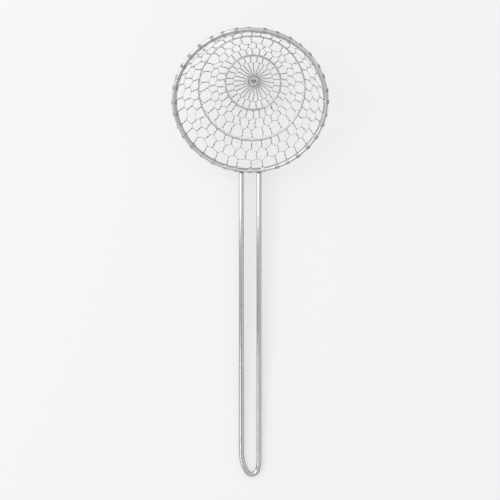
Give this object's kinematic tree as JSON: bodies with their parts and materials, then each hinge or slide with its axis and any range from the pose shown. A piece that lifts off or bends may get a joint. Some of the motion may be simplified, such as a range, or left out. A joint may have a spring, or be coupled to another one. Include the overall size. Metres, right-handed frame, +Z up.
{
  "type": "spider skimmer",
  "caption": "Wire spider skimmer: a round bowl of twisted wire mesh on a hoop, with a long handle bent from one wire.",
  "frame": {"origin": "middle of the footprint, on the table that the skimmer lies on", "axes": "+Z up, +Y along the handle towards the bowl's tip, +X to the right seen from the handle's end"},
  "size_m": [0.1408, 0.4038, 0.0815],
  "materials": {
    "handle_wire": "bright drawn stainless wire with faint lengthwise draw lines",
    "hoop_wire": "bright drawn stainless wire, rubbed where the net is lashed on",
    "edge_wire": "thin dull stainless wire",
    "ring_wire": "semi-bright stainless wire",
    "net_wire": "fine stainless wire twisted in pairs",
    "weld_bead": "small cleaned weld beads with a faint heat tint"
  },
  "bodies": {
    "root": {"handle": "handle_wire", "rim_hoop": "hoop_wire", "edge_wire": "edge_wire", "inner_ring": "ring_wire", "middle_ring": "ring_wire", "hub_ring": "ring_wire", "left_weld": "weld_bead", "right_weld": "weld_bead", "hub_net_wire_01": "net_wire", "hub_net_wire_02": "net_wire", "hub_net_wire_03": "net_wire", "hub_net_wire_04": "net_wire", "hub_net_wire_05": "net_wire", "hub_net_wire_06": "net_wire", "hub_net_wire_07": "net_wire", "hub_net_wire_08": "net_wire", "hub_net_wire_09": "net_wire", "hub_net_wire_10": "net_wire", "hub_net_wire_11": "net_wire", "hub_net_wire_12": "net_wire", "hub_net_wire_13": "net_wire", "hub_net_wire_14": "net_wire", "hub_net_wire_15": "net_wire", "hub_net_wire_16": "net_wire", "hub_net_wire_17": "net_wire", "hub_net_wire_18": "net_wire", "hub_net_wire_19": "net_wire", "hub_net_wire_20": "net_wire", "hub_net_wire_21": "net_wire", "hub_net_wire_22": "net_wire", "hub_net_wire_23": "net_wire", "hub_net_wire_24": "net_wire", "inner_net_wire_1": "net_wire", "inner_net_wire_2": "net_wire", "inner_net_wire_3": "net_wire", "inner_net_wire_4": "net_wire", "inner_net_wire_5": "net_wire", "inner_net_wire_6": "net_wire", "middle_net_wire_1": "net_wire", "middle_net_wire_2": "net_wire", "middle_net_wire_3": "net_wire", "middle_net_wire_4": "net_wire", "middle_net_wire_5": "net_wire", "middle_net_wire_6": "net_wire"}
  },
  "joints": []
}
